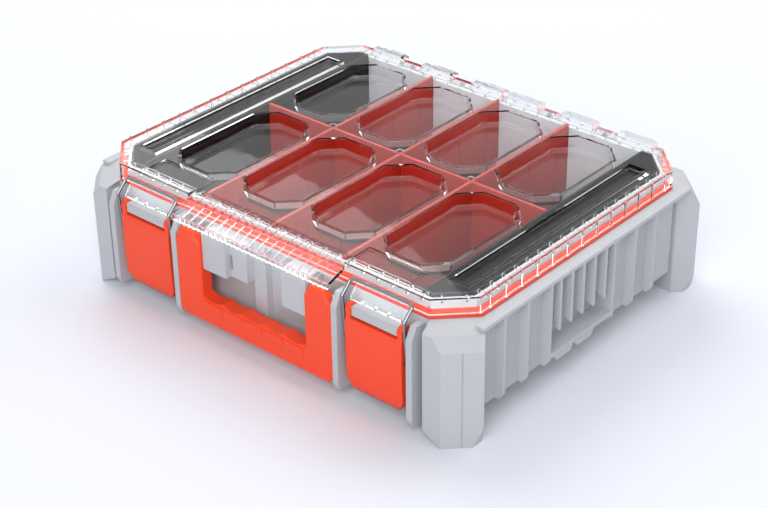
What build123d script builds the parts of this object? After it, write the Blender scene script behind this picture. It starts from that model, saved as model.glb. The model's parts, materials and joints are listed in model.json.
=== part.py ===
from build123d import *
import math
import os

# Compartment organizer, millimetres.
# +X is to the right along the front, the front faces -Y, +Z is up.
# The origin is under the middle of the box, on the surface that the feet stand on.

# Overall sizes
foot_half_x = 220.0
foot_half_y = 173.0
foot_drop = 18.0
lid_height = 121.5

# Mouldings
skin = 2.5
floor_skin = 2.5
run_gap = 0.3
pin_play = 0.05

# Lid outline
lid_inset_x = 18.5
lid_inset_y = 13.5
lid_corner = 28.5
skirt_lift = 2.8
skirt_rib_pitch = 20.0
skirt_rib_width = 2.0
skirt_rib_proud = 1.2

# Seal
seal_gap = 0.8
seal_width = 3.4
seal_height = 10.0
seal_lip = 4.5
seal_lip_height = 2.5

# Outer wall of the tub
wall_out = 4.5
rim_drop = 17.5
rim_flange_height = 3.0
collar_height = 12.0

# Ribs of the side walls
fin_proud = 8.5
fin_width = 3.0
fin_pitch = 30.0
fin_tail = 6.0
grip_start_y = -57.0
grip_length = 87.0
grip_floor_z = 36.0
grip_floor_height = 4.5
grip_depth = 9.0
grip_fin_pitch = 15.5
grip_fin_drop = 50.0
grip_hook_half = 1.6
grip_hook_drop = 5.0

# Corner posts
post_corner = 24.0
post_face = 18.3
post_reach = 16.0
post_shoulder_drop = 16.0
post_ledge_drop = 4.5
post_ledge_cut = 9.2
post_ledge_lean = 4.0
post_foot_side = 9.4
post_foot_out = 6.0
post_foot_rise = 17.0
post_groove = 0.8

# Cells
cells_from_cavity = 34.8
cell_rows_y = 11.0
divider_thick = 3.0
divider_rib_width = 2.0
divider_rib_proud = 0.7
divider_rib_share = 3
divider_top_gap = 1.0
slot_play = 0.2

# Side trays
tray_skin = 2.0
tray_rail = 0.6
tray_rail_drop = 9.0

# Lid wells
well_margin_x = 5.8
well_corner = 17.0
well_depth = 10.0
well_inset = 2.5
well_margin_front = 27.0
well_margin_mid = 11.0
well_margin_back = 16.0
groove_width = 16.0
groove_depth = 3.5
groove_margin_front = 27.0
groove_margin_back = 32.0
panel_depth = 1.0
panel_length = 59.0
panel_width = 20.0
panel_margin = 10.5
crossing_mark = 7.0
crossing_mark_depth = 0.8

# Hinge
hinge_out = 7.5
hinge_pin_r = 2.0
knuckle_r = 5.0
knuckle_first = 3.5
knuckle_count = 3
knuckle_length = 34.0
knuckle_margin = 17.8
knuckle_crown = 1.0
lug_width = 8.0
lug_r = 5.4

# Latches
latch_gap = 6.8
latch_half_x = 29.0
latch_pivot_out = 4.5
latch_pivot_drop = 14.0
latch_pin_r = 1.5
latch_front_out = 1.4
latch_thick = 7.5
latch_wall_depth = 11.0
latch_wall_z = 58.0
latch_bottom_z = 17.0
latch_plate_drop = 20.5
latch_corner = 9.0
latch_crown = 1.0
latch_toe = 3.0
latch_tail = 8.0
ear_width = 5.0
ear_r = 5.5
lug_half = 4.2
lug_front = 3.7

# Wire bails
wire_r = 1.4
leg_gap = 1.1
bail_corner_r = 5.0
bail_drop = 42.0
bail_pivot_out = 2.5
bail_knee_out = 1.0
bail_knee_drop = 2.0
bail_top_in = 10.5
bail_top_drop = 8.5
bail_tang = 6.0

# Flaps of the lid under the bails
flap_half_x = 26.0
flap_out = 2.0
flap_low_drop = 4.8
flap_top_drop = 9.0
flap_crown_drop = 10.2
flap_crown_in = 8.0
flap_notch = 2.0
flap_notch_pitch = 13.0

# Handle
bay_gap = 6.5
handle_front_out = 5.3
handle_thick = 13.0
handle_bottom_z = 14.5
handle_grip_z = 40.5
handle_upright = 28.5
handle_corner = 5.0
handle_shoulder_x = 7.0
handle_shoulder_z = 11.0
handle_pivot_out = 3.5
handle_pivot_drop = 12.0
handle_end_r = 8.0
handle_pin_r = 3.0
handle_round = 2.0
finger_scallops = 5
finger_scallop_r = 42.0
finger_scallop_depth = 1.6

# Front pillars and pivot blocks of the tub
pillar_width = 6.0
pillar_out = 4.0
pillar_bottom_z = 10.0
pillar_point = 6.0
block_width = 27.0
block_drop = 38.0
block_out = 1.5
step_width = 19.0
step_set_back = 6.0
step_slot_width = 2.4
step_slot_height = 14.0
step_slot_depth = 4.0
bay_rib_width = 14.0
bay_rib_proud = 7.0

# Central lip of the lid
lip_out = 6.0
lip_drop_front = 10.5
lip_face = 6.0
lip_root = 12.0
lip_rib_pitch = 5.6
lip_rib_width = 1.6
lip_rib_proud = 1.0
lip_line_pitch = 9.4
lip_line_width = 1.2
lip_line_proud = 0.7
lip_zigzag_depth = 11.0

# Worked out from the sizes above
both_sides = (-1, 1)
rim_height = lid_height - rim_drop
rim_under_z = rim_height - rim_flange_height
lid_half_x = foot_half_x - lid_inset_x
lid_half_y = foot_half_y - lid_inset_y
post_start_x = foot_half_x - post_corner - post_face
body_bottom_z = foot_drop
wall_bottom_z = body_bottom_z + fin_tail
plate_low_z = lid_height - skin
skirt_low_z = rim_height + skirt_lift
tub_half_x = lid_half_x + wall_out
tub_half_y = lid_half_y + run_gap
skirt_in_x = lid_half_x - skin
skirt_in_y = lid_half_y - skin
collar_x = skirt_in_x - seal_gap - seal_width - run_gap
collar_y = skirt_in_y - seal_gap - seal_width - run_gap
cavity_x = collar_x - skin
cavity_y = collar_y - skin
collar_top_z = rim_height + collar_height
inner_floor_z = body_bottom_z + floor_skin
divider_low_z = inner_floor_z + run_gap
divider_top_z = plate_low_z - divider_top_gap
half_lap_z = (divider_low_z + divider_top_z) / 2
cells_half_x = cavity_x - cells_from_cavity
cell_pitch = cells_half_x / 2
tray_in_x = cells_half_x + run_gap
tray_out_x = cavity_x - run_gap
well_half_x = cell_pitch / 2 - well_margin_x
groove_x = (tray_in_x + tray_out_x) / 2
fin_out_x = tub_half_x + fin_proud
flank_y = foot_half_y - post_corner - (foot_half_x - tub_half_x)

hinge_y = lid_half_y + hinge_out
hinge_z = skirt_low_z + run_gap
knuckle_pitch = (post_start_x - knuckle_first - knuckle_length - knuckle_margin) / (knuckle_count - 1)
knuckle_starts = [knuckle_first + i * knuckle_pitch for i in range(knuckle_count)]
knuckle_end_x = knuckle_starts[-1] + knuckle_length

latch_bay_half = latch_half_x + bay_gap
latch_x = post_start_x - latch_gap - pillar_width - latch_bay_half
latch_pivot_y = -foot_half_y + latch_pivot_out
latch_pivot_z = rim_height - latch_pivot_drop
latch_front_y = -foot_half_y - latch_front_out
latch_top_z = rim_height - latch_plate_drop
bail_pivot_y = -foot_half_y + bail_pivot_out
bail_pivot_z = rim_height - bail_drop
bail_knee_y = -foot_half_y - bail_knee_out
bail_knee_z = rim_height - bail_knee_drop
bail_half_x = latch_half_x + leg_gap + wire_r
bail_top_y = -foot_half_y + bail_top_in
bail_top_z = lid_height - bail_top_drop

pillar_in_x = latch_x - latch_bay_half - pillar_width
handle_half_x = pillar_in_x - run_gap
pillar_front_y = -foot_half_y - pillar_out
handle_front_y = -foot_half_y - handle_front_out
handle_pivot_y = -foot_half_y + handle_pivot_out
handle_pivot_z = rim_height - handle_pivot_drop
block_out_x = handle_half_x - handle_upright - run_gap
block_in_x = block_out_x - block_width
block_front_y = -foot_half_y - block_out
block_bottom_z = rim_height - block_drop

flap_front_y = -foot_half_y + flap_out
flap_low_z = rim_height - flap_low_drop
lip_front_y = -foot_half_y - lip_out
lip_front_z = lid_height - lip_drop_front
lip_root_y = -lid_half_y + lip_root
centre_shift_y = (lip_out + lip_rib_proud) / 2


def offset_corner(corner, inset):
    # A chamfer shrinks with its outline by this much when the outline moves inwards.
    return corner - inset * (2 - math.sqrt(2))


def block(x0, x1, y0, y1, z0, z1):
    middle = ((x0 + x1) / 2, (y0 + y1) / 2, (z0 + z1) / 2)
    return Pos(*middle) * Box(abs(x1 - x0), abs(y1 - y0), abs(z1 - z0))


def flat(points, z):
    return Pos(0, 0, z) * make_face(Polyline(*points, close=True))


def prism(points, z0, z1):
    return extrude(flat(points, z0), z1 - z0, dir=(0, 0, 1))


def along_x(points, x0, x1):
    # A side profile, given as (y, z), carried from x0 to x1.
    face = make_face(Polyline(*points, close=True))
    return Pos(x0, 0, 0) * extrude(Plane.YZ * face, x1 - x0)


def along_y(points, y0, y1):
    # A front profile, given as (x, z), carried from y0 to y1.
    face = make_face(Polyline(*points, close=True))
    return Pos(0, y1, 0) * extrude(Plane.XZ * face, y1 - y0)


def rod_x(radius, x0, x1, y, z):
    middle = ((x0 + x1) / 2, y, z)
    return Pos(*middle) * Rot(0, 90, 0) * Cylinder(radius, abs(x1 - x0))


def octagon(half_x, half_y, corner):
    return [
        (half_x - corner, -half_y),
        (half_x, -half_y + corner),
        (half_x, half_y - corner),
        (half_x - corner, half_y),
        (-half_x + corner, half_y),
        (-half_x, half_y - corner),
        (-half_x, -half_y + corner),
        (-half_x + corner, -half_y),
    ]


def rim_shape(half_x, half_y, z0, z1):
    # The octagon of the box, kept parallel to the lid's edge.
    corner = offset_corner(lid_corner, lid_half_x - half_x)
    return prism(octagon(half_x, half_y, corner), z0, z1)


def ring(half_x, half_y, thick, z0, z1):
    outer = rim_shape(half_x, half_y, z0, z1)
    return outer - rim_shape(half_x - thick, half_y - thick, z0, z1)


def mirrored(shape):
    return shape + mirror(shape, Plane.YZ)


def post_outline(cut, lean):
    # The column's outline in the quarter with both coordinates positive.
    return [
        (post_start_x, foot_half_y),
        (foot_half_x - post_corner - cut, foot_half_y),
        (foot_half_x - lean, foot_half_y - post_corner - cut + lean),
        (tub_half_x, flank_y),
        (tub_half_x - post_reach, flank_y),
        (post_start_x, foot_half_y - post_reach - skin),
    ]


def corner_post(front):
    # An octagonal corner column; its shoulder and ledge lean in to the lid's corner.
    side = -1 if front else 1
    shoulder_z = rim_height - post_shoulder_drop
    rim_corner = offset_corner(lid_corner, -wall_out)
    high = [
        (tub_half_x - rim_corner - run_gap, tub_half_y),
        (tub_half_x - rim_corner, tub_half_y),
        (tub_half_x, tub_half_y - rim_corner),
        (tub_half_x, tub_half_y - rim_corner - run_gap),
        (tub_half_x - post_reach, tub_half_y - rim_corner - run_gap),
        (tub_half_x - rim_corner - run_gap, tub_half_y - skin),
    ]
    levels = [
        (post_outline(0, 0), shoulder_z),
        (post_outline(post_ledge_cut, post_ledge_lean), rim_height - post_ledge_drop),
        (high, rim_height),
    ]
    faces = [flat([(x, side * y) for x, y in outline], z) for outline, z in levels]
    shaft = extrude(faces[0], shoulder_z, dir=(0, 0, -1))
    # The foot's lower corners are cut at a slope on both sides.
    front_y = side * (foot_half_y - post_reach - post_corner - skin)
    low_y = side * (foot_half_y + skin)
    left = [
        (post_start_x - skin, 0),
        (post_start_x + post_face, 0),
        (post_start_x, post_foot_side),
        (post_start_x - skin, post_foot_side),
    ]
    right = [
        (foot_half_x + skin, 0),
        (foot_half_x + skin, post_foot_rise),
        (foot_half_x, post_foot_rise),
        (foot_half_x - post_foot_out, 0),
    ]
    cut_ys = sorted((front_y, low_y))
    shaft -= along_y(left, *cut_ys) + along_y(right, *cut_ys)
    # A fine parting line runs down the middle of the outer face.
    middle_x = foot_half_x - post_corner / 2
    middle_y = side * (foot_half_y - post_corner / 2)
    groove = Pos(middle_x, middle_y, shoulder_z / 2) * Rot(0, 0, 45)
    shaft -= groove * Box(post_groove, post_groove, shoulder_z)
    shoulder = loft([faces[0], faces[1]], ruled=True) + loft([faces[1], faces[2]], ruled=True)
    return shaft + shoulder


def side_fin(y):
    # A vertical stiffening rib; its foot is cut back at a slope.
    points = [
        (tub_half_x - skin, wall_bottom_z),
        (tub_half_x + fin_proud / 2, wall_bottom_z),
        (fin_out_x, wall_bottom_z + fin_tail),
        (fin_out_x, rim_under_z),
        (tub_half_x - skin, rim_under_z),
    ]
    return along_y(points, y - fin_width / 2, y + fin_width / 2)


def grip_fin(y):
    # A short rib over the side grip, ending in a slope above the fingers.
    end_z = rim_height - grip_fin_drop
    points = [
        (tub_half_x - grip_depth, end_z + grip_depth),
        (fin_out_x, end_z),
        (fin_out_x, rim_under_z),
        (tub_half_x - grip_depth, rim_under_z),
    ]
    return along_y(points, y - fin_width / 2, y + fin_width / 2)


def side_wall():
    # Everything of the right wall that stands outside the plain skin.
    grip_end_y = grip_start_y + grip_length
    fin_places = [grip_start_y - i * fin_pitch for i in range(3)]
    fin_places += [grip_end_y + i * fin_pitch for i in range(3)]
    parts = side_fin(fin_places[0])
    for y in fin_places[1:]:
        parts += side_fin(y)
    back_x = tub_half_x - grip_depth
    parts += block(back_x - skin, back_x, grip_start_y, grip_end_y, grip_floor_z, rim_height)
    shelf_low_z = grip_floor_z - grip_floor_height
    parts += block(back_x - skin, fin_out_x, grip_start_y, grip_end_y, shelf_low_z, grip_floor_z)
    for y in (grip_start_y, grip_end_y):
        parts += block(back_x - skin, tub_half_x, y - fin_width / 2, y + fin_width / 2,
                       shelf_low_z, rim_height)
    count = int(grip_length / grip_fin_pitch)
    first = grip_start_y + (grip_length - (count - 1) * grip_fin_pitch) / 2
    for i in range(count):
        parts += grip_fin(first + i * grip_fin_pitch)
    # Two small hooks hang under the grip's outer edge.
    for share in (1, 2):
        y = grip_start_y + grip_length * share / 3
        hook = [
            (y - grip_hook_half, shelf_low_z),
            (y - grip_hook_half / 2, shelf_low_z - grip_hook_drop),
            (y + grip_hook_half / 2, shelf_low_z - grip_hook_drop),
            (y + grip_hook_half, shelf_low_z),
        ]
        parts += along_x(hook, fin_out_x - skin, fin_out_x)
    return parts


def front_pillar(x0):
    points = [
        (-tub_half_y + skin, pillar_bottom_z + pillar_point),
        (-tub_half_y - pillar_point / 2, pillar_bottom_z),
        (pillar_front_y + pillar_point / 2, pillar_bottom_z),
        (pillar_front_y, pillar_bottom_z + pillar_point),
        (pillar_front_y, latch_pivot_z),
        (pillar_front_y + pillar_point, rim_under_z),
        (-tub_half_y + skin, rim_under_z),
    ]
    return along_x(points, x0, x0 + pillar_width)


def handle_block():
    # The inner pivot block of the handle; the outer end of the pin sits in the pillar.
    return block(block_in_x, block_out_x, block_front_y, -collar_y, block_bottom_z, rim_under_z)


def stepped_block():
    # A lower step beside the left pivot block, with a narrow slot next to it.
    front_y = block_front_y + step_set_back
    low_z = block_bottom_z
    step = block(-block_in_x, -block_in_x + step_width, front_y, -collar_y, low_z, rim_under_z)
    slot_low_z = low_z + step_slot_height / 2
    slot = block(-block_in_x, -block_in_x + step_slot_width, front_y, front_y + step_slot_depth,
                 slot_low_z, slot_low_z + step_slot_height)
    rib = block(-bay_rib_width, 0, -collar_y - bay_rib_proud, -collar_y, body_bottom_z, rim_under_z)
    return step - slot + rib


def pillar_cheek():
    # Web behind the pillar that carries it down the front wall.
    return block(pillar_in_x, pillar_in_x + pillar_width, -tub_half_y, -collar_y,
                 body_bottom_z, rim_under_z)


def latch_lug():
    # A square lug between the lever's ears.
    reach = latch_half_x - ear_width - run_gap
    shape = block(latch_x - reach, latch_x + reach, latch_pivot_y - lug_front, -tub_half_y,
                  latch_pivot_z - lug_half, latch_pivot_z + lug_half)
    bore = rod_x(latch_pin_r + pin_play, latch_x - latch_half_x, latch_x + latch_half_x,
                 latch_pivot_y, latch_pivot_z)
    return shape - bore


def hinge_lug_starts():
    starts = [start + knuckle_length + run_gap for start in knuckle_starts]
    starts += [start - run_gap - lug_width for start in knuckle_starts[1:]]
    return starts


def hinge_lug(x0):
    boss = rod_x(lug_r, x0, x0 + lug_width, hinge_y, hinge_z)
    web_top_z = hinge_z - skirt_lift - run_gap
    web = along_x([
        (tub_half_y - skin, hinge_z - 3 * lug_r),
        (hinge_y + lug_r, hinge_z - lug_r),
        (hinge_y + lug_r, hinge_z),
        (tub_half_y, web_top_z),
        (tub_half_y - skin, web_top_z),
    ], x0, x0 + lug_width)
    return boss + web


def tub():
    body = rim_shape(tub_half_x, tub_half_y, wall_bottom_z, rim_height)
    body -= rim_shape(tub_half_x - skin, tub_half_y - skin, wall_bottom_z, rim_under_z)
    body += ring(collar_x, collar_y, skin, body_bottom_z, collar_top_z)
    body += rim_shape(collar_x, collar_y, body_bottom_z, inner_floor_z)
    flange_end_y = foot_half_y - post_corner - post_ledge_cut + post_ledge_lean
    body += mirrored(block(tub_half_x, fin_out_x, -flange_end_y, flange_end_y,
                           rim_under_z, rim_height))
    # The finger space of each side grip, and the handle's bay in the front wall.
    grip_cut = block(tub_half_x - grip_depth, fin_out_x, grip_start_y,
                     grip_start_y + grip_length, grip_floor_z, rim_under_z)
    body -= mirrored(grip_cut)
    body -= block(-pillar_in_x, pillar_in_x, -tub_half_y, -tub_half_y + skin,
                  wall_bottom_z, rim_under_z)
    right = side_wall() + corner_post(True) + corner_post(False)
    right += front_pillar(pillar_in_x)
    right += pillar_cheek() + handle_block() + latch_lug()
    right += front_pillar(latch_x + latch_bay_half)
    for x0 in hinge_lug_starts():
        right += hinge_lug(x0)
    body += mirrored(right)
    body += stepped_block()
    body -= rim_shape(cavity_x, cavity_y, inner_floor_z, lid_height)
    for side in both_sides:
        body -= rod_x(handle_pin_r + pin_play, side * (block_out_x - block_width / 3),
                      side * (pillar_in_x + pillar_width - knuckle_crown),
                      handle_pivot_y, handle_pivot_z)
        body -= rod_x(hinge_pin_r + pin_play, side * knuckle_first / 2,
                      side * (knuckle_end_x + lug_width + skin), hinge_y, hinge_z)
    return body


def skirt_ribs():
    count = int((lid_half_y - lid_corner) / skirt_rib_pitch)
    places = [i * skirt_rib_pitch for i in range(-count, count + 1)]
    ribs = [block(lid_half_x - skin, lid_half_x + skirt_rib_proud,
                  y - skirt_rib_width / 2, y + skirt_rib_width / 2,
                  skirt_low_z, lid_height) for y in places]
    return mirrored(ribs[0].fuse(*ribs[1:]))


def well_places():
    rows = [
        (-cavity_y + well_margin_front, cell_rows_y - well_margin_mid),
        (cell_rows_y + well_margin_mid, cavity_y - well_margin_back),
    ]
    return [((column + 0.5) * cell_pitch, row) for column in range(-2, 2) for row in rows]


def well(x, row, grow, drop):
    # A tapered cup with cut corners; grow widens it for the outside of the moulding.
    half_y = (row[1] - row[0]) / 2 + grow
    half_x = well_half_x + grow
    corner = offset_corner(well_corner, -grow)
    top = octagon(half_x, half_y, corner)
    low = octagon(half_x - well_inset, half_y - well_inset, offset_corner(corner, well_inset))
    cup = loft([flat(top, 0), flat(low, -drop)], ruled=True)
    return Pos(x, (row[0] + row[1]) / 2, lid_height) * cup


def lid_knuckle(x0):
    back_y = hinge_y + knuckle_r
    crown_z = lid_height + knuckle_crown
    points = [
        (lid_half_y - skin, skirt_low_z),
        (tub_half_y + run_gap, skirt_low_z),
        (hinge_y - knuckle_r / 2, hinge_z - knuckle_r),
        (hinge_y + knuckle_r / 2, hinge_z - knuckle_r),
        (back_y, hinge_z - knuckle_r / 2),
        (back_y, plate_low_z),
        (hinge_y, crown_z),
        (lid_half_y, crown_z),
        (lid_half_y - skin, lid_height),
    ]
    return along_x(points, x0, x0 + knuckle_length - run_gap)


def bail_flap(x):
    # A sloping flap with a raised crown that carries the wire, and notches in its edge.
    inner = flap_front_y + skin
    crown_z = lid_height - flap_crown_drop
    points = [
        (-lid_half_y + skin / 2, lid_height - flap_top_drop),
        (flap_front_y + flap_crown_in, crown_z),
        (flap_front_y, flap_low_z + skin),
        (flap_front_y, flap_low_z),
        (inner, flap_low_z),
        (inner + skin, flap_low_z + skin),
        (-lid_half_y, crown_z - skin),
        (-lid_half_y + skin / 2, crown_z - skin),
    ]
    shape = along_x(points, x - flap_half_x, x + flap_half_x)
    for i in (-1, 0, 1):
        place = x + i * flap_notch_pitch
        shape -= block(place - flap_notch / 2, place + flap_notch / 2,
                       flap_front_y, inner, flap_low_z, flap_low_z + flap_notch)
    return shape


def lip_slope(proud):
    # The lip's sloping top, raised by proud, as a thin plate.
    return along_x([
        (lip_root_y, lid_height),
        (lip_root_y, lid_height + proud),
        (lip_front_y, lip_front_z + proud),
        (lip_front_y, lip_front_z - skin / 2),
        (lip_root_y, lid_height - skin / 2),
    ], -handle_half_x, handle_half_x)


def lip_lattice():
    # Zigzag ribs at the lip's root and straight ribs from there to its front edge.
    half = lip_line_width / 2
    count = int(handle_half_x / lip_line_pitch)
    low_y = lip_root_y - lip_zigzag_depth
    lines = []
    for i in range(-count, count):
        x = i * lip_line_pitch
        turn = x + lip_line_pitch / 2
        end = x + lip_line_pitch
        lines.append([(x - half, low_y), (x + half, low_y),
                      (turn + half, lip_root_y), (turn - half, lip_root_y)])
        lines.append([(turn - half, lip_root_y), (turn + half, lip_root_y),
                      (end + half, low_y), (end - half, low_y)])
        lines.append([(x - half, lip_front_y), (x + half, lip_front_y),
                      (x + half, low_y), (x - half, low_y)])
    lines.append([(-handle_half_x, low_y - half), (handle_half_x, low_y - half),
                  (handle_half_x, low_y + half), (-handle_half_x, low_y + half)])
    bars = [prism(line, lip_front_z - skin, lid_height + skin) for line in lines]
    return lip_slope(lip_line_proud) & bars[0].fuse(*bars[1:])


def central_lip():
    inner_y = lip_front_y + skin
    face_low_z = lip_front_z - lip_face
    points = [
        (lip_root_y, lid_height),
        (lip_front_y, lip_front_z),
        (lip_front_y, face_low_z),
        (inner_y, face_low_z),
        (inner_y, lip_front_z - skin),
        (-lid_half_y, plate_low_z - skin - skin),
        (-lid_half_y + skin, plate_low_z - skin),
        (lip_root_y, plate_low_z),
    ]
    shape = along_x(points, -handle_half_x, handle_half_x)
    count = int(handle_half_x / lip_rib_pitch)
    ribs = [block(i * lip_rib_pitch - lip_rib_width / 2, i * lip_rib_pitch + lip_rib_width / 2,
                  lip_front_y - lip_rib_proud, inner_y, face_low_z, lip_front_z - lip_rib_proud)
            for i in range(-count, count + 1)]
    return shape.fuse(*ribs)


def lid():
    shell = rim_shape(lid_half_x, lid_half_y, skirt_low_z, lid_height)
    shell -= rim_shape(skirt_in_x, skirt_in_y, skirt_low_z, plate_low_z)
    shell -= along_x([
        (-lid_half_y, lid_height),
        (lip_root_y, lid_height),
        (lip_front_y, lip_front_z),
        (lip_front_y, lid_height),
    ], -handle_half_x, handle_half_x)
    for x, row in well_places():
        shell += well(x, row, skin, well_depth + skin)
    for x, row in well_places():
        shell -= well(x, row, 0, well_depth)
    shell += central_lip() + skirt_ribs()
    shell += lip_lattice()
    right = bail_flap(latch_x)
    for x0 in knuckle_starts:
        right += lid_knuckle(x0)
    shell += mirrored(right)
    # Long grooves over the side trays and shallow panels at the front corners.
    low_x = groove_x - groove_width / 2
    high_x = groove_x + groove_width / 2
    front_y = -cavity_y + groove_margin_front
    back_y = cavity_y - groove_margin_back
    groove_out = block(low_x - skin, high_x + skin, front_y - skin, back_y + skin,
                       lid_height - groove_depth - skin, plate_low_z)
    groove_in = block(low_x, high_x, front_y, back_y, lid_height - groove_depth, lid_height)
    panel_y = -lid_half_y + panel_margin
    panel = block(handle_half_x, handle_half_x + panel_length, panel_y, panel_y + panel_width,
                  lid_height - panel_depth, lid_height)
    shell += mirrored(groove_out)
    shell -= mirrored(groove_in + panel)
    # A small square mark over each crossing of the dividers.
    for column in (-1, 0, 1):
        mark = Pos(column * cell_pitch, cell_rows_y, lid_height - crossing_mark_depth / 2)
        shell -= mark * Box(crossing_mark, crossing_mark, crossing_mark_depth)
    for side in both_sides:
        shell -= rod_x(hinge_pin_r + pin_play, side * knuckle_first / 2,
                       side * (knuckle_end_x + lug_width + skin), hinge_y, hinge_z)
    return shell


def lid_seal():
    outer_x = skirt_in_x - seal_gap
    outer_y = skirt_in_y - seal_gap
    inner_x = outer_x - seal_width
    inner_y = outer_y - seal_width
    band = ring(outer_x, outer_y, seal_width, rim_height, rim_height + seal_height)
    foot_top_z = rim_height + seal_lip_height
    foot = rim_shape(outer_x + seal_lip, tub_half_y, rim_height, foot_top_z)
    foot -= rim_shape(inner_x, inner_y, rim_height, foot_top_z)
    return band + foot


def divider_rib_places(length):
    # Stiffening ribs on both faces, several panels to a cell.
    pitch = cell_pitch / divider_rib_share
    count = int(length / pitch)
    first = -count * pitch / 2
    return [first + i * pitch for i in range(count + 1)]


def divider_long():
    y = cell_rows_y
    half_thick = divider_thick / 2
    proud = half_thick + divider_rib_proud
    plate = block(-cells_half_x, cells_half_x, y - half_thick, y + half_thick,
                  divider_low_z, divider_top_z)
    for x in divider_rib_places(2 * cells_half_x - cell_pitch / 2):
        plate += block(x - divider_rib_width / 2, x + divider_rib_width / 2,
                       y - proud, y + proud, divider_low_z, half_lap_z)
    slot_half = half_thick + slot_play
    clear_half = slot_half + divider_rib_proud
    for column in (-1, 0, 1):
        x = column * cell_pitch
        plate -= block(x - slot_half, x + slot_half, y - proud, y + proud,
                       half_lap_z, divider_top_z)
        for low, high in ((y + half_thick, y + proud), (y - proud, y - half_thick)):
            plate -= block(x - clear_half, x + clear_half, low, high, divider_low_z, half_lap_z)
    return plate


def divider_cross(column):
    x = column * cell_pitch
    front = -cavity_y + run_gap
    back = cavity_y - run_gap
    half_thick = divider_thick / 2
    proud = half_thick + divider_rib_proud
    plate = block(x - half_thick, x + half_thick, front, back, divider_low_z, divider_top_z)
    pitch = (cell_rows_y - front) / (divider_rib_share + 1)
    for i in range(1, 2 * divider_rib_share + 2):
        y = front + i * pitch
        if abs(y - cell_rows_y) > divider_thick and y < back - divider_thick:
            plate += block(x - proud, x + proud, y - divider_rib_width / 2,
                           y + divider_rib_width / 2, divider_low_z, rim_height)
    slot_half = half_thick + slot_play
    plate -= block(x - proud, x + proud, cell_rows_y - slot_half, cell_rows_y + slot_half,
                   divider_low_z, half_lap_z + run_gap)
    return plate


def tray_outline(inset):
    corner = offset_corner(lid_corner, lid_half_x - tray_out_x + inset)
    half_y = cavity_y - run_gap - inset
    out_x = tray_out_x - inset
    in_x = tray_in_x + inset
    return [
        (in_x, -half_y),
        (out_x - corner, -half_y),
        (out_x, -half_y + corner),
        (out_x, half_y - corner),
        (out_x - corner, half_y),
        (in_x, half_y),
    ]


def tray():
    # An open long box with cut outer corners and a raised rail round its top.
    rail_z = divider_top_z - tray_rail_drop
    shape = prism(tray_outline(tray_rail), divider_low_z, divider_top_z)
    shape += prism(tray_outline(0), rail_z, rail_z + tray_skin)
    shape -= prism(tray_outline(tray_skin), divider_low_z + tray_skin, divider_top_z)
    return shape


def latch(side):
    x = side * latch_x
    plate_back_y = latch_front_y + latch_thick
    wall_back_y = latch_front_y + latch_wall_depth
    profile = [
        (latch_front_y + latch_crown, latch_top_z),
        (latch_front_y, latch_top_z - latch_tail / 2),
        (latch_front_y, latch_wall_z - latch_tail),
        (latch_front_y + latch_crown, latch_bottom_z + latch_corner),
        (latch_front_y + latch_toe, latch_bottom_z),
        (wall_back_y, latch_bottom_z),
        (wall_back_y, latch_wall_z),
        (plate_back_y, latch_wall_z + latch_toe),
        (plate_back_y, latch_top_z),
    ]
    lever = along_x(profile, x - latch_half_x, x + latch_half_x)
    wall = ear_width + latch_crown
    lever -= block(x - latch_half_x + wall, x + latch_half_x - wall,
                   latch_front_y + latch_toe, wall_back_y, latch_bottom_z, latch_top_z - skin)
    for end in both_sides:
        out_x = x + end * latch_half_x
        cut = [
            (out_x, latch_bottom_z),
            (out_x, latch_bottom_z + latch_corner),
            (x + end * (latch_half_x - latch_corner / 2), latch_bottom_z),
        ]
        lever -= along_y(cut, latch_front_y, wall_back_y)
        in_x = out_x - end * ear_width
        ear = rod_x(ear_r, in_x, out_x, latch_pivot_y, latch_pivot_z)
        ear += block(in_x, out_x, latch_front_y + latch_crown, latch_pivot_y + ear_r,
                     latch_top_z - latch_toe, latch_pivot_z)
        lever += ear
        lever -= rod_x(wire_r + pin_play, out_x - end * bail_tang, out_x,
                       bail_pivot_y, bail_pivot_z)
    lever -= rod_x(latch_pin_r + pin_play, x - latch_half_x, x + latch_half_x,
                   latch_pivot_y, latch_pivot_z)
    return lever


def latch_pin(side):
    half = latch_half_x - run_gap
    x = side * latch_x
    return rod_x(latch_pin_r, x - half, x + half, latch_pivot_y, latch_pivot_z)


def bail(side):
    # One bent wire: two tangs into the lever's sides, two kneed legs and a crossbar.
    x = side * latch_x
    tang_in = latch_half_x - bail_tang + run_gap
    cut = bail_corner_r / 2
    rise_y = bail_top_y - bail_knee_y
    rise_z = bail_top_z - bail_knee_z
    share = cut / math.hypot(rise_y, rise_z)
    near_y = bail_top_y - rise_y * share
    near_z = bail_top_z - rise_z * share
    half = [
        (tang_in, bail_pivot_y, bail_pivot_z),
        (bail_half_x, bail_pivot_y, bail_pivot_z),
        (bail_half_x, bail_knee_y, bail_knee_z),
        (bail_half_x, near_y, near_z),
        (bail_half_x - cut, bail_top_y, bail_top_z),
    ]
    points = [(x - across, y, z) for across, y, z in half]
    points += [(x + across, y, z) for across, y, z in reversed(half)]
    path = Polyline(*points)
    section = Plane(origin=path @ 0, z_dir=path % 0) * Circle(wire_r)
    return sweep(section, path=path, transition=Transition.RIGHT)


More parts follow.
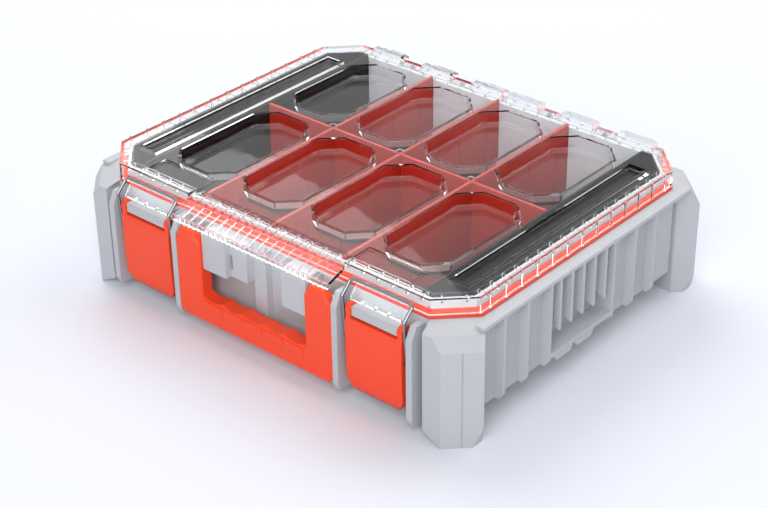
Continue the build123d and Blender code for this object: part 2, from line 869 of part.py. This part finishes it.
def handle():
    top_z = handle_pivot_z + handle_end_r
    inner_x = handle_half_x - handle_upright
    half = [
        (inner_x, handle_grip_z),
        (inner_x, top_z - handle_shoulder_z),
        (inner_x + handle_shoulder_x, top_z),
        (handle_half_x - handle_shoulder_x, top_z),
        (handle_half_x, top_z - handle_shoulder_z),
        (handle_half_x, handle_bottom_z + handle_corner),
        (handle_half_x - handle_corner, handle_bottom_z),
    ]
    outline = half + [(-x, z) for x, z in reversed(half)]
    back_y = handle_front_y + handle_thick
    shape = along_y(outline, handle_front_y, back_y)
    front_edges = shape.edges().group_by(Axis.Y)[0]
    shape = chamfer(front_edges, handle_round)
    pitch = 2 * inner_x / finger_scallops
    centre_z = handle_grip_z + finger_scallop_r - finger_scallop_depth
    for i in range(finger_scallops):
        x = -inner_x + (i + 0.5) * pitch
        cutter = Pos(x, (handle_front_y + back_y) / 2, centre_z)
        cutter *= Rot(90, 0, 0) * Cylinder(finger_scallop_r, handle_thick)
        limit = block(x - pitch / 2, x + pitch / 2, handle_front_y, back_y,
                      handle_grip_z - 2 * finger_scallop_depth, handle_grip_z)
        shape -= cutter & limit
    shape -= along_x([
        (back_y, handle_pivot_z),
        (back_y, top_z),
        (back_y - handle_end_r, top_z),
    ], -handle_half_x, handle_half_x)
    shape -= rod_x(handle_pin_r + pin_play, -handle_half_x, handle_half_x,
                   handle_pivot_y, handle_pivot_z)
    return shape


def handle_pin(side):
    return rod_x(handle_pin_r, side * (block_out_x - block_width / 3 + run_gap),
                 side * (pillar_in_x + pillar_width - knuckle_crown - run_gap),
                 handle_pivot_y, handle_pivot_z)


def hinge_pin(side):
    return rod_x(hinge_pin_r, side * knuckle_first,
                 side * (knuckle_end_x + lug_width), hinge_y, hinge_z)


def build_all():
    pieces = {
        "base_tub": tub(),
        "lid": lid(),
        "lid_seal": lid_seal(),
        "divider_long": divider_long(),
        "handle": handle(),
        "tray_right": tray(),
        "tray_left": mirror(tray(), Plane.YZ),
    }
    for number, column in enumerate((-1, 0, 1), start=1):
        pieces[f"divider_cross_{number}"] = divider_cross(column)
    for name, side in (("left", -1), ("right", 1)):
        pieces[f"latch_{name}"] = latch(side)
        pieces[f"latch_pin_{name}"] = latch_pin(side)
        pieces[f"bail_{name}"] = bail(side)
        pieces[f"handle_pin_{name}"] = handle_pin(side)
        pieces[f"hinge_pin_{name}"] = hinge_pin(side)
    return pieces


os.makedirs("parts", exist_ok=True)
for node, shape in build_all().items():
    # The front lip reaches further than the posts, so the cells lie behind the middle of the box.
    shape = Pos(0, centre_shift_y, 0) * shape
    export_step(shape, f"parts/{node}.step")
    print(node, round(shape.volume))
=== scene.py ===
import bpy
import json
import numpy as np
from mathutils import Matrix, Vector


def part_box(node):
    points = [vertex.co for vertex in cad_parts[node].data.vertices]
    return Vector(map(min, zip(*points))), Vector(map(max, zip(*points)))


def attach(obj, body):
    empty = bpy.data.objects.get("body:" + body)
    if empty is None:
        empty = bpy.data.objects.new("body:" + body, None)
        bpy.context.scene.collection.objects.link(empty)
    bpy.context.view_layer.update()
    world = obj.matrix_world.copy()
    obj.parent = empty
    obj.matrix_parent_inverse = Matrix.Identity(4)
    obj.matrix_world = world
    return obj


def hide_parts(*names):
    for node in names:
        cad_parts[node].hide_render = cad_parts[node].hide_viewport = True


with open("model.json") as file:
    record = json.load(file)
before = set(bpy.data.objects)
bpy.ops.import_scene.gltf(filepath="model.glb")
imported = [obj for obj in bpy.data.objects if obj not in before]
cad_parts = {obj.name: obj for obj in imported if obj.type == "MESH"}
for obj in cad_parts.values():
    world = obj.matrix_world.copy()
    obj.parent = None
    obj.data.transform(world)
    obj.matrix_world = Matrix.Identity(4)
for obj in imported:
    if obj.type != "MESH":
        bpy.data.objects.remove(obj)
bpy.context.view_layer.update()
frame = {"nodes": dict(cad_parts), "record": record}
mm = 0.001

# The middle of the cells lies a little behind the middle of the whole box
cellsLow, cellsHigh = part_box("divider_cross_2")
midY = (cellsLow[1] + cellsHigh[1]) / 2


def hexToLinear(hexColour):
    # sRGB hex to scene linear, one channel at a time
    values = [int(hexColour[i:i + 2], 16) / 255 for i in (1, 3, 5)]
    linear = [v / 12.92 if v <= 0.04045 else ((v + 0.055) / 1.055) ** 2.4 for v in values]
    return (*linear, 1.0)


def addNode(tree, kind, settings=None, links=None):
    # One node with its settings: socket names and numbers set inputs, other names set attributes
    node = tree.nodes.new(kind)
    for key, value in (settings or {}).items():
        if isinstance(key, int) or key in node.inputs:
            node.inputs[key].default_value = value
        else:
            setattr(node, key, value)
    for key, socket in (links or {}).items():
        tree.links.new(socket, node.inputs[key])
    return node


def newMaterial(name):
    material = bpy.data.materials.new(name)
    material.use_nodes = True
    tree = material.node_tree
    tree.nodes.clear()
    output = addNode(tree, "ShaderNodeOutputMaterial")
    return material, tree, output


# Injection-moulded plastics. Cooling leaves a faint cloudiness in the colour, and the spark-eroded
# mould leaves a fine grain, made coarser here so that it shows. edgeMm is the radius that the
# mould gives every edge. The levers, handle, dividers and trays have a lower ior than the real
# plastic, which keeps their colours deep under the bright stage.
mouldFacts = {"cloudDetail": 3.0, "grainDetail": 2.0, "grainDeepMm": 0.1,
              "smoother": 0.05, "rougher": 0.06, "edgeSamples": 4}
plasticLooks = {
    "greyShell": {"dark": "#bbbec3", "light": "#c3c5c9", "roughness": 0.46, "ior": 1.49,
                  "cloudMm": 60, "grainMm": 0.9, "bump": 0.25, "edgeMm": 0.9},
    "orangeLever": {"dark": "#fc4822", "light": "#ff5128", "roughness": 0.44, "ior": 1.42,
                    "cloudMm": 40, "grainMm": 0.8, "bump": 0.2, "edgeMm": 0.9},
    "redDivider": {"dark": "#941a0e", "light": "#a22112", "roughness": 0.42, "ior": 1.45,
                   "cloudMm": 50, "grainMm": 0.8, "bump": 0.2, "edgeMm": 0.5},
    "blackTray": {"dark": "#08090b", "light": "#0e1013", "roughness": 0.5, "ior": 1.28,
                  "cloudMm": 50, "grainMm": 0.8, "bump": 0.25, "edgeMm": 0.6},
    "redSeal": {"dark": "#e2452f", "light": "#ea5a44", "roughness": 0.5, "ior": 1.5,
                "cloudMm": 30, "grainMm": 0.6, "bump": 0.15, "edgeMm": 0.4},
}


def mouldedPlastic(name, look):
    # Two noises in millimetres: a wide one mixes the colour and roughness, a fine one is the grain
    material, tree, output = newMaterial(name)
    place = addNode(tree, "ShaderNodeTexCoord").outputs["Object"]
    cloud = addNode(tree, "ShaderNodeTexNoise",
                    {"Scale": 1 / (look["cloudMm"] * mm), "Detail": mouldFacts["cloudDetail"]},
                    {"Vector": place})
    grain = addNode(tree, "ShaderNodeTexNoise",
                    {"Scale": 1 / (look["grainMm"] * mm), "Detail": mouldFacts["grainDetail"]},
                    {"Vector": place})
    tint = addNode(tree, "ShaderNodeMix", {"data_type": "RGBA"}, {"Factor": cloud.outputs["Fac"]})
    tint.inputs["A"].default_value = hexToLinear(look["dark"])
    tint.inputs["B"].default_value = hexToLinear(look["light"])
    rough = addNode(tree, "ShaderNodeMapRange",
                    {"To Min": look["roughness"] - mouldFacts["smoother"],
                     "To Max": look["roughness"] + mouldFacts["rougher"]},
                    {"Value": cloud.outputs["Fac"]})
    edge = addNode(tree, "ShaderNodeBevel",
                   {"samples": mouldFacts["edgeSamples"], "Radius": look["edgeMm"] * mm})
    bump = addNode(tree, "ShaderNodeBump",
                   {"Strength": look["bump"], "Distance": mouldFacts["grainDeepMm"] * mm},
                   {"Height": grain.outputs["Fac"], "Normal": edge.outputs["Normal"]})
    shader = addNode(tree, "ShaderNodeBsdfPrincipled", {"IOR": look["ior"]},
                     {"Base Color": tint.outputs["Result"], "Roughness": rough.outputs["Result"],
                      "Normal": bump.outputs["Normal"]})
    tree.links.new(shader.outputs["BSDF"], output.inputs["Surface"])
    return material


# Polished clear polycarbonate: sharp bright edges and faint flow waves. Its real ior is 1.58, and
# a lower one keeps the cells readable under several walls. shade colours the light in the cells.
clearLook = {"colour": "#fbfcfc", "shade": "#f6f7f8", "ior": 1.23, "roughness": 0.0,
             "rougher": 0.03, "flowMm": 25, "flowDetail": 1.0, "flowDeepMm": 0.2, "bump": 0.08,
             "edgeMm": 0.5, "edgeSamples": 4}


def clearPolycarbonate(name, look):
    # Glass for what is seen, and a plain filter for the light that falls through to the cells
    material, tree, output = newMaterial(name)
    place = addNode(tree, "ShaderNodeTexCoord").outputs["Object"]
    flow = addNode(tree, "ShaderNodeTexNoise",
                   {"Scale": 1 / (look["flowMm"] * mm), "Detail": look["flowDetail"]},
                   {"Vector": place})
    rough = addNode(tree, "ShaderNodeMapRange",
                    {"To Min": look["roughness"], "To Max": look["roughness"] + look["rougher"]},
                    {"Value": flow.outputs["Fac"]})
    edge = addNode(tree, "ShaderNodeBevel",
                   {"samples": look["edgeSamples"], "Radius": look["edgeMm"] * mm})
    bump = addNode(tree, "ShaderNodeBump",
                   {"Strength": look["bump"], "Distance": look["flowDeepMm"] * mm},
                   {"Height": flow.outputs["Fac"], "Normal": edge.outputs["Normal"]})
    shader = addNode(tree, "ShaderNodeBsdfPrincipled",
                     {"IOR": look["ior"], "Transmission Weight": 1.0,
                      "Base Color": hexToLinear(look["colour"])},
                     {"Roughness": rough.outputs["Result"], "Normal": bump.outputs["Normal"]})
    shade = addNode(tree, "ShaderNodeBsdfTransparent", {"Color": hexToLinear(look["shade"])})
    path = addNode(tree, "ShaderNodeLightPath")
    mix = addNode(tree, "ShaderNodeMixShader", None, {0: path.outputs["Is Shadow Ray"]})
    tree.links.new(shader.outputs["BSDF"], mix.inputs[1])
    tree.links.new(shade.outputs["BSDF"], mix.inputs[2])
    tree.links.new(mix.outputs["Shader"], output.inputs["Surface"])
    return material


# Steel drawn through a die, which leaves fine lines along X, made coarser here so that they show.
# The wires are plated over that, but their colour is painted darker than bright plating: painted
# shade that stands in for the dark surroundings they would mirror. The pins are left as drawn.
drawFacts = {"lineStretch": 0.05, "lineDetail": 2.0, "rougher": 0.08, "bump": 0.1,
             "lineDeepMm": 0.02}
steelLooks = {
    # The wire's colour is painted dark, in place of the dark reflections it would show
    "platedWire": {"colour": "#8d9095", "roughness": 0.1, "lineMm": 0.4},
    "steelPin": {"colour": "#a9abae", "roughness": 0.28, "lineMm": 0.4},
}


def drawnSteel(name, look):
    # One noise stretched along X sets the roughness and the height of the lines
    material, tree, output = newMaterial(name)
    place = addNode(tree, "ShaderNodeTexCoord").outputs["Object"]
    stretch = addNode(tree, "ShaderNodeMapping", {"Scale": (drawFacts["lineStretch"], 1.0, 1.0)},
                      {"Vector": place})
    lines = addNode(tree, "ShaderNodeTexNoise",
                    {"Scale": 1 / (look["lineMm"] * mm), "Detail": drawFacts["lineDetail"]},
                    {"Vector": stretch.outputs["Vector"]})
    rough = addNode(tree, "ShaderNodeMapRange",
                    {"To Min": look["roughness"],
                     "To Max": look["roughness"] + drawFacts["rougher"]},
                    {"Value": lines.outputs["Fac"]})
    bump = addNode(tree, "ShaderNodeBump",
                   {"Strength": drawFacts["bump"], "Distance": drawFacts["lineDeepMm"] * mm},
                   {"Height": lines.outputs["Fac"]})
    shader = addNode(tree, "ShaderNodeBsdfPrincipled",
                     {"Metallic": 1.0, "Base Color": hexToLinear(look["colour"])},
                     {"Roughness": rough.outputs["Result"], "Normal": bump.outputs["Normal"]})
    tree.links.new(shader.outputs["BSDF"], output.inputs["Surface"])
    return material


orangeLever = mouldedPlastic("orangeNylonMoulded", plasticLooks["orangeLever"])
slotMaterials = {
    "grey_shell": mouldedPlastic("greyPolypropyleneMoulded", plasticLooks["greyShell"]),
    "orange_lever": orangeLever,
    "orange_handle": orangeLever,
    "red_divider": mouldedPlastic("redPolypropyleneMoulded", plasticLooks["redDivider"]),
    "black_tray": mouldedPlastic("blackAbsMoulded", plasticLooks["blackTray"]),
    "red_seal": mouldedPlastic("redElastomerMoulded", plasticLooks["redSeal"]),
    "clear_lid": clearPolycarbonate("clearPolycarbonatePolished", clearLook),
    "plated_wire": drawnSteel("steelWirePlatedPaintedDark", steelLooks["platedWire"]),
    "steel_pin": drawnSteel("steelPinDrawn", steelLooks["steelPin"]),
}
nodeSlots = {entry["node"]: entry["material_slot"] for entry in frame["record"]["subparts"]}
for nodeName, node in frame["nodes"].items():
    node.data.materials.clear()
    node.data.materials.append(slotMaterials[nodeSlots[nodeName]])
print("finishes given to the carried pieces")


def newPiece(name, points, faces, body, slot):
    # One mesh from whole arrays in millimetres, at its place, riding on a body
    mesh = bpy.data.meshes.new(name)
    mesh.from_pydata((points * mm).tolist(), [], faces.tolist())
    mesh.materials.append(slotMaterials[slot])
    piece = bpy.data.objects.new(name, mesh)
    bpy.context.scene.collection.objects.link(piece)
    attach(piece, body)
    return piece


def hexahedra(corners):
    # Six faces on every eight corners. The corners run along the first axis fastest, then along
    # the second and the third, which are right-handed, so that the faces point outwards.
    quads = np.array([(0, 2, 3, 1), (4, 5, 7, 6), (0, 1, 5, 4),
                      (2, 6, 7, 3), (0, 4, 6, 2), (1, 3, 7, 5)])
    firstCorners = corners.shape[1] * np.arange(len(corners))
    return corners.reshape(-1, 3), (quads[None] + firstCorners[:, None, None]).reshape(-1, 4)


# Half sizes of the lid's octagon and the cut of its corners. Moved inwards with its sides
# parallel, a corner's cut shrinks by the inset times two less the root of two.
lidEdge = {"halfX": 201.5, "halfY": 159.5, "corner": 28.5}
cutPerInset = 2 - np.sqrt(2)


def octagonCorners(halfX, halfY, corner, inset):
    # The eight corners, anticlockwise from above, for one inset or for an array of them
    x, y, cut = halfX - inset, halfY - inset, corner - inset * cutPerInset
    acrossX = np.stack([x, x, x - cut, cut - x, -x, -x, cut - x, x - cut], axis=-1)
    acrossY = np.stack([cut - y, y - cut, y, y, y - cut, cut - y, -y, -y], axis=-1)
    return np.stack([acrossX, acrossY + midY / mm], axis=-1)


def octagonRing(halfX, halfY, corner, profile):
    # A closed profile of (inset, height) points carried round the octagon: a grid of profile
    # points by corners, closed both ways. The profile starts with its outer side, going up.
    flatPoints = octagonCorners(halfX, halfY, corner, profile[:, 0])
    rows, columns = flatPoints.shape[:2]
    heights = np.broadcast_to(profile[:, 1, None, None], (rows, columns, 1))
    points = np.concatenate([flatPoints, heights], axis=-1)
    row, column = np.meshgrid(np.arange(rows), np.arange(columns), indexing="ij")
    nextRow, nextColumn = (row + 1) % rows, (column + 1) % columns
    faces = np.stack([row * columns + column, row * columns + nextColumn,
                      nextRow * columns + nextColumn, nextRow * columns + column], axis=-1)
    return points.reshape(-1, 3), faces.reshape(-1, 4)


# Seal: a flat foot under the lid's skirt and a low bead with leaning sides behind it
sealFacts = {"footHeight": 2.5, "beadStart": 5.2, "beadHeight": 4.8, "beadLean": 0.6, "width": 7.9}


def buildSeal(facts):
    low, high = (np.array(corner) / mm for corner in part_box("lid_seal"))
    half = (high - low) / 2
    base, foot, bead = low[2] + np.array([0, facts["footHeight"], facts["beadHeight"]])
    start, end, lean = facts["beadStart"], facts["width"], facts["beadLean"]
    profile = np.array([(0, base), (0, foot), (start, foot), (start + lean, bead),
                        (end - lean, bead), (end, foot), (end, base)])
    corner = lidEdge["corner"] + (half[0] - lidEdge["halfX"]) * cutPerInset
    points, faces = octagonRing(half[0], half[1], corner, profile)
    seal = newPiece("sealRing", points, faces, "base", "red_seal")
    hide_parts("lid_seal")


# Rim of the lid: a fine inner wall and short cross ribs hanging under the clear plate
rimFacts = {"skirt": 2.7, "plateLow": 118.9, "ribPitch": 14.5, "ribWidth": 1.5,
            "ribReach": 7.6, "ribDrop": 2.6, "wallStart": 10.6, "wallWidth": 1.0}


def ribCorners(facts, start, end):
    # Blocks evenly spaced from start to end of one straight side: each point is the block's
    # centre plus its width along the side, its reach inwards and its height
    length = np.linalg.norm(end - start)
    along = (end - start) / length
    inwards = np.array([-along[1], along[0]])
    count = int(length / facts["ribPitch"])
    shares = (np.arange(count) + 0.5) / count
    centres = start + shares[:, None] * (end - start)
    sides = np.array([-0.5, 0.5]) * facts["ribWidth"]
    depths = np.array([0.0, facts["ribReach"]])
    heights = facts["plateLow"] + np.array([-facts["ribDrop"], 0.0])
    flatPoints = (centres[:, None, None, None] + sides[None, None, None, :, None] * along
                  + depths[None, None, :, None, None] * inwards)
    flatPoints = np.broadcast_to(flatPoints, (count, 2, 2, 2, 2))
    tall = np.broadcast_to(heights[None, :, None, None, None], (count, 2, 2, 2, 1))
    return np.concatenate([flatPoints, tall], axis=-1).reshape(count, 8, 3)


def buildRim(facts):
    starts = octagonCorners(inset=np.float64(facts["skirt"]), **lidEdge)
    ends = np.roll(starts, -1, axis=0)
    ribs = [ribCorners(facts, start, end) for start, end in zip(starts, ends)]
    points, faces = hexahedra(np.concatenate(ribs))
    newPiece("rimCrossRibs", points, faces, "lid", "clear_lid")
    top, bottom = facts["plateLow"], facts["plateLow"] - facts["ribDrop"]
    outer, inner = facts["wallStart"], facts["wallStart"] + facts["wallWidth"]
    profile = np.array([(outer, bottom), (outer, top), (inner, top), (inner, bottom)])
    points, faces = octagonRing(profile=profile, **lidEdge)
    newPiece("rimInnerWall", points, faces, "lid", "clear_lid")


# Two tapered lugs under the outer edge of each side grip: each place is its front and back
gripLugFacts = {"outX": 214.7, "depthX": 6.0, "topZ": 31.6, "lowZ": 26.0,
                "frontTaper": 5.5, "backTaper": 2.75, "places": ((-49.0, -22.0), (-20.5, 7.0))}


def buildGripLugs(facts):
    # Blocks whose lower edge is shorter than the upper one at both ends
    corners = []
    for side in (-1, 1):
        xs = sorted((side * facts["outX"], side * (facts["outX"] - facts["depthX"])))
        for front, back in facts["places"]:
            lowYs = (front + facts["frontTaper"], back - facts["backTaper"])
            for z, ys in ((facts["lowZ"], lowYs), (facts["topZ"], (front, back))):
                corners += [(x, y, z) for y in ys for x in xs]
    points, faces = hexahedra(np.array(corners).reshape(-1, 8, 3))
    newPiece("sideGripLugs", points, faces, "base", "grey_shell")


# Pads along the front of the carry handle's grip, leaning out towards the top
padFacts = {"count": 5, "halfLength": 58.0, "gap": 1.0, "lowZ": 27.0, "highZ": 37.5,
            "lowProud": 0.1, "highProud": 0.9, "sunk": 0.5}


def buildGripPads(facts):
    # Equal blocks with a gap between them, sunk into the handle's front and proud of it
    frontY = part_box("handle")[0][1] / mm
    ends = np.linspace(-facts["halfLength"], facts["halfLength"], facts["count"] + 1)
    levels = ((facts["lowZ"], facts["lowProud"]), (facts["highZ"], facts["highProud"]))
    corners = []
    for x0, x1 in zip(ends[:-1] + facts["gap"] / 2, ends[1:] - facts["gap"] / 2):
        for z, proud in levels:
            corners += [(x, y, z) for y in (frontY - proud, frontY + facts["sunk"])
                        for x in (x0, x1)]
    points, faces = hexahedra(np.array(corners).reshape(-1, 8, 3))
    newPiece("handleGripPads", points, faces, "handle", "orange_handle")


buildSeal(sealFacts)
buildRim(rimFacts)
buildGripLugs(gripLugFacts)
buildGripPads(padFacts)
print("seal, rim ribs, grip lugs and grip pads built")


# Camera at the photograph's place: metres from the middle of the cells, angles in degrees
cameraFacts = {"x": 0.90438, "y": -1.04284, "z": 0.84301, "yaw": 41.27, "pitch": 30.72,
               "roll": -0.81, "focalPixels": 1798.29, "imagePixels": 768, "sensorMm": 36.0,
               "clipStart": 0.01}


def placeAt(thing, side, over, back, place):
    # Puts a camera or lamp at a place, from its own three axes
    thing.matrix_world = Matrix((
        (side[0], over[0], back[0], place[0]),
        (side[1], over[1], back[1], place[1]),
        (side[2], over[2], back[2], place[2]),
        (0, 0, 0, 1),
    ))


def placeCamera(facts):
    # Looks ahead by yaw and pitch, then is turned about that line by roll
    yaw, pitch, roll = np.radians([facts["yaw"], facts["pitch"], facts["roll"]])
    ahead = np.array([-np.sin(yaw) * np.cos(pitch), np.cos(yaw) * np.cos(pitch), -np.sin(pitch)])
    flatRight = np.array([np.cos(yaw), np.sin(yaw), 0])
    flatUp = np.cross(flatRight, ahead)
    right = np.cos(roll) * flatRight + np.sin(roll) * flatUp
    data = bpy.data.cameras.new("studioCamera")
    data.sensor_width = facts["sensorMm"]
    data.lens = facts["focalPixels"] / facts["imagePixels"] * facts["sensorMm"]
    data.clip_start = facts["clipStart"]
    camera = bpy.data.objects.new("studioCamera", data)
    bpy.context.scene.collection.objects.link(camera)
    placeAt(camera, right, np.cross(right, ahead), -ahead,
            (facts["x"], facts["y"] + midY, facts["z"]))
    bpy.context.scene.camera = camera


placeCamera(cameraFacts)

# Sizes and places in metres, powers in watts
stageFacts = {"floorHalf": 2.0, "floorColour": "#e8ebf4", "floorLift": 0.04,
              "worldColour": "#fbfbff", "worldStrength": 0.26, "backColour": "#ffffff"}
lampFacts = {
    "keyLight": {"place": (1.3, -2.0, 1.7), "size": 2.2, "power": 52.0, "mirrored": True},
    "backLeftLight": {"place": (-1.6, 0.8, 2.1), "size": 2.4, "power": 44.0, "mirrored": False},
    "backRightLight": {"place": (0.6, 1.8, 1.9), "size": 2.2, "power": 24.0, "mirrored": False},
}


def seenRays(tree):
    # One for rays from the camera, from a reflection or through glass, else zero
    path = addNode(tree, "ShaderNodeLightPath")
    direct = addNode(tree, "ShaderNodeMath", {"operation": "MAXIMUM"},
                     {0: path.outputs["Is Camera Ray"], 1: path.outputs["Is Transmission Ray"]})
    mirrored = addNode(tree, "ShaderNodeMath", {"operation": "MAXIMUM"},
                       {0: direct.outputs[0], 1: path.outputs["Is Glossy Ray"]})
    return mirrored.outputs[0]


def buildFloor(facts):
    half = facts["floorHalf"]
    mesh = bpy.data.meshes.new("studioFloor")
    corners = [(-half, -half, 0), (half, -half, 0), (half, half, 0), (-half, half, 0)]
    mesh.from_pydata(corners, [], [(0, 1, 2, 3)])
    floor = bpy.data.objects.new("studioFloor", mesh)
    bpy.context.scene.collection.objects.link(floor)
    material, tree, output = newMaterial("studioPaper")
    shader = addNode(tree, "ShaderNodeBsdfDiffuse", {"Color": hexToLinear(facts["floorColour"])})
    # Seen directly, in metal or through glass, the paper is lifted to white and keeps the shadow
    lift = addNode(tree, "ShaderNodeMath", {"operation": "MULTIPLY", 1: facts["floorLift"]},
                   {0: seenRays(tree)})
    glow = addNode(tree, "ShaderNodeEmission", {"Color": hexToLinear(facts["backColour"])},
                   {"Strength": lift.outputs[0]})
    both = addNode(tree, "ShaderNodeAddShader", None,
                   {0: shader.outputs["BSDF"], 1: glow.outputs["Emission"]})
    tree.links.new(both.outputs["Shader"], output.inputs["Surface"])
    mesh.materials.append(material)


def buildWorld(facts):
    # A dim even sky lights the object, and plain white is what is seen behind it
    world = bpy.data.worlds.new("studioWorld")
    bpy.context.scene.world = world
    world.use_nodes = True
    tree = world.node_tree
    tree.nodes.clear()
    glow = addNode(tree, "ShaderNodeBackground",
                   {"Color": hexToLinear(facts["worldColour"]),
                    "Strength": facts["worldStrength"]})
    plain = addNode(tree, "ShaderNodeBackground",
                    {"Color": hexToLinear(facts["backColour"]), "Strength": 1.0})
    mix = addNode(tree, "ShaderNodeMixShader", None, {0: seenRays(tree)})
    tree.links.new(glow.outputs[0], mix.inputs[1])
    tree.links.new(plain.outputs[0], mix.inputs[2])
    output = addNode(tree, "ShaderNodeOutputWorld")
    tree.links.new(mix.outputs[0], output.inputs["Surface"])


def areaLight(name, facts):
    # A round soft lamp that faces the middle of the floor
    data = bpy.data.lights.new(name, "AREA")
    data.shape = "DISK"
    data.size = facts["size"]
    data.energy = facts["power"]
    lamp = bpy.data.objects.new(name, data)
    bpy.context.scene.collection.objects.link(lamp)
    ahead = -np.array(facts["place"])
    ahead /= np.linalg.norm(ahead)
    side = np.cross(ahead, (0, 0, 1.0))
    side /= np.linalg.norm(side)
    placeAt(lamp, side, np.cross(side, ahead), -ahead, facts["place"])
    # The lamps behind are kept out of the polished lid's mirror image
    lamp.visible_glossy = facts["mirrored"]


buildFloor(stageFacts)
buildWorld(stageFacts)
for lampName, oneLamp in lampFacts.items():
    areaLight(lampName, oneLamp)
bpy.context.scene.view_settings.view_transform = "Standard"
print("camera and studio placed")
